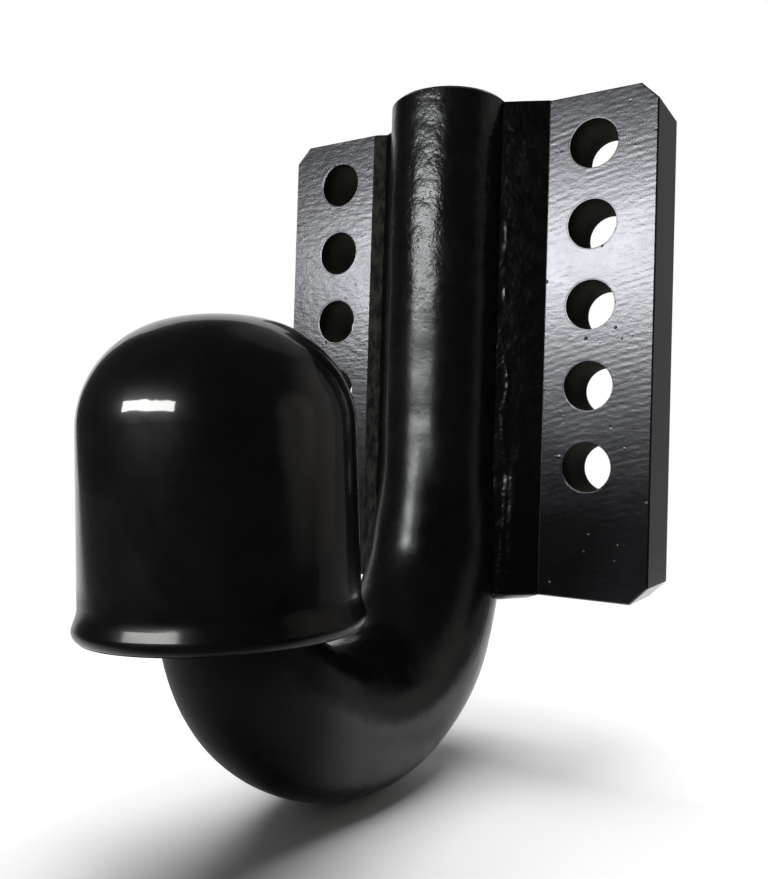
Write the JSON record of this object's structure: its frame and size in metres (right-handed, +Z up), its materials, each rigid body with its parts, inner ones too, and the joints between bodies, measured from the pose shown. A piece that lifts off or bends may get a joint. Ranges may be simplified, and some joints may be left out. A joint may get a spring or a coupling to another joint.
{
  "type": "swan neck tow ball",
  "caption": "Bolt-on swan-neck tow ball: round forged bar welded to a thick drilled mounting plate, curving through a U-bend up to a coupling ball under a pull-off domed cap.",
  "frame": {"origin": "on the mounting face, the back of the plate, at the middle of the hole pattern", "axes": "+Z up, parallel to the coupling ball's neck; +Y out of the mounting face towards the vehicle, so the ball stands out along -Y; +X across the plate"},
  "size_m": [0.15, 0.1855, 0.2345],
  "materials": {
    "plate_paint": "satin black paint over flat bar",
    "forging_paint": "gloss black paint over a forged skin",
    "weld_paint": "gloss black paint over weld ripples",
    "cap_plastic": "smooth gloss black"
  },
  "bodies": {
    "coupling": {"mounting_plate": "plate_paint", "swan_neck": "forging_paint", "weld_right": "weld_paint", "weld_left": "weld_paint"},
    "cap": {"ball_cap": "cap_plastic"}
  },
  "joints": [
    {"name": "cap_pull_off", "type": "slide", "parent": "coupling", "child": "cap", "axis": [-0.0593, -0.0105, 0.9982], "range_m": [0, 0.085]}
  ]
}
